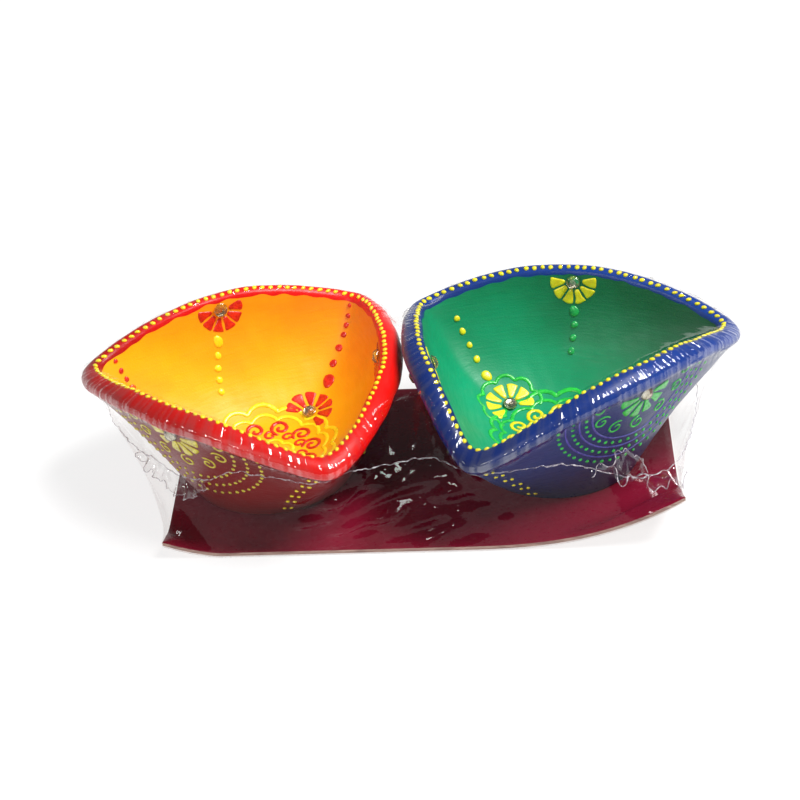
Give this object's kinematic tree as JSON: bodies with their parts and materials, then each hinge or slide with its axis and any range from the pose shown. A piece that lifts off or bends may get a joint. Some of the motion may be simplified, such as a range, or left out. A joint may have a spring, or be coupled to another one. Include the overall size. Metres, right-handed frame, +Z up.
{
  "type": "diya oil lamp",
  "caption": "Hand-painted clay oil lamp bowls with pinched corners and glass stones, shrink-wrapped side by side on a glossy card.",
  "frame": {"origin": "on the resting plane, under the middle of the pair", "axes": "+X runs along the pair from the red bowl to the blue bowl, +Y points away from the display side, +Z up"},
  "size_m": [0.1839, 0.0936, 0.046],
  "materials": {
    "maroon_card": "gloss-laminated maroon card with a grey-brown cut edge",
    "red_paint": "hand-brushed red gloss paint on terracotta, golden yellow inside",
    "blue_paint": "hand-brushed blue gloss paint on terracotta, green inside",
    "clear_film": "clear glossy shrink film, crinkled",
    "glass_stone": "foil-backed cut glass stone"
  },
  "bodies": {
    "root": {"card_base": "maroon_card", "red_bowl": "red_paint", "blue_bowl": "blue_paint", "film_upper": "clear_film", "film_lower": "clear_film", "red_stone_1": "glass_stone", "red_stone_2": "glass_stone", "red_stone_3": "glass_stone", "red_stone_4": "glass_stone", "red_stone_5": "glass_stone", "red_stone_6": "glass_stone", "red_stone_7": "glass_stone", "red_stone_8": "glass_stone", "red_stone_9": "glass_stone", "blue_stone_1": "glass_stone", "blue_stone_2": "glass_stone", "blue_stone_3": "glass_stone", "blue_stone_4": "glass_stone", "blue_stone_5": "glass_stone", "blue_stone_6": "glass_stone", "blue_stone_7": "glass_stone", "blue_stone_8": "glass_stone", "blue_stone_9": "glass_stone"}
  },
  "joints": []
}
